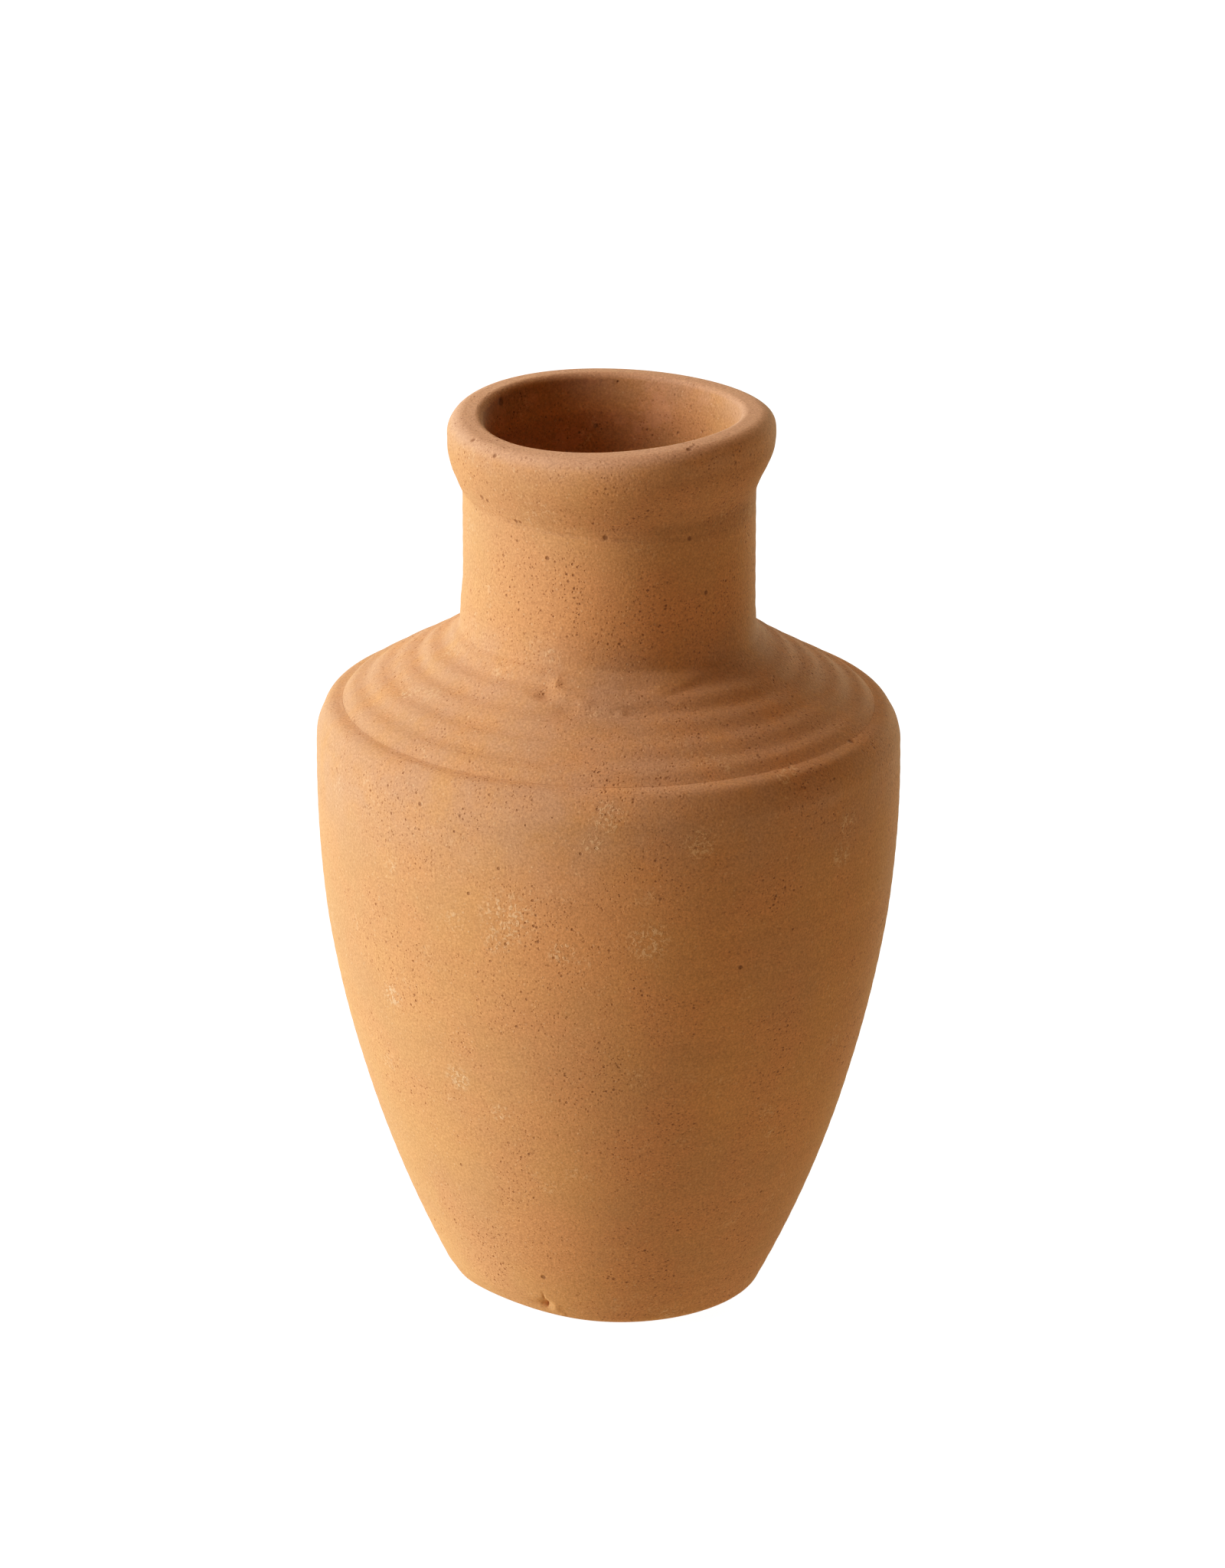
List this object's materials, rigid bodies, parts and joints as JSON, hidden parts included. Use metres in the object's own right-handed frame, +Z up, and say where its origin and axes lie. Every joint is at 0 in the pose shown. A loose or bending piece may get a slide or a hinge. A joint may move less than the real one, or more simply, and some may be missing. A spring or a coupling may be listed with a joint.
{
  "type": "terracotta vase",
  "caption": "Tall terracotta vase: tapering body, sloped ridged shoulder, short straight neck and a thick flared lip, joined from thrown sections.",
  "frame": {"origin": "centre of the flat underside, on the surface that the vase stands on", "axes": "+Z up along the wheel's axis; -Y is the side that is seen first"},
  "size_m": [0.1856, 0.1856, 0.2897],
  "materials": {
    "terracotta": "unglazed, matte, dusty",
    "clay_slip": "unglazed, matte, wiped by finger"
  },
  "bodies": {
    "root": {"floor_disc": "terracotta", "body_wall": "terracotta", "shoulder_cap": "terracotta", "neck_tube": "terracotta", "neck_root_coil": "clay_slip", "rim_coil": "terracotta"}
  },
  "joints": []
}
